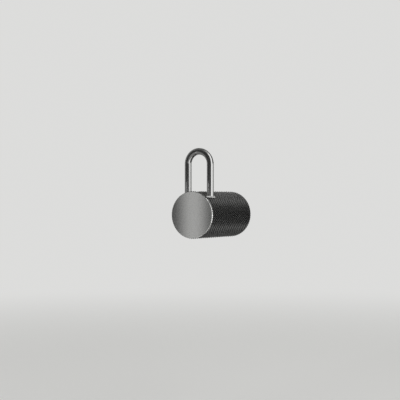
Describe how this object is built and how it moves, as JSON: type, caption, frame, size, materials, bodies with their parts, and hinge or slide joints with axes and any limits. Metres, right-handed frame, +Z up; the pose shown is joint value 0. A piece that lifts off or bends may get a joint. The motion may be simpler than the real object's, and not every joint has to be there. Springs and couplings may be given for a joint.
{
  "type": "wall hook",
  "caption": "Round knurled steel wall hook: a short barrel on a concealed wall spigot, with an upright bent-rod loop behind its plain front disc.",
  "frame": {"origin": "centre of the barrel's rear face, on the wall", "axes": "+Y into the wall along the barrel's axis, +Z up towards the loop, +X to the right seen from the room"},
  "size_m": [0.028, 0.071, 0.0533],
  "materials": {
    "satin_steel": "satin",
    "polished_steel": "polished",
    "plain_steel": "machined",
    "dark_steel": "oxide",
    "plated_steel": "zinc plated"
  },
  "bodies": {
    "root": {"barrel": "satin_steel", "loop": "polished_steel", "spigot": "plain_steel", "grub_screw": "dark_steel", "wall_screw": "plated_steel"}
  },
  "joints": []
}
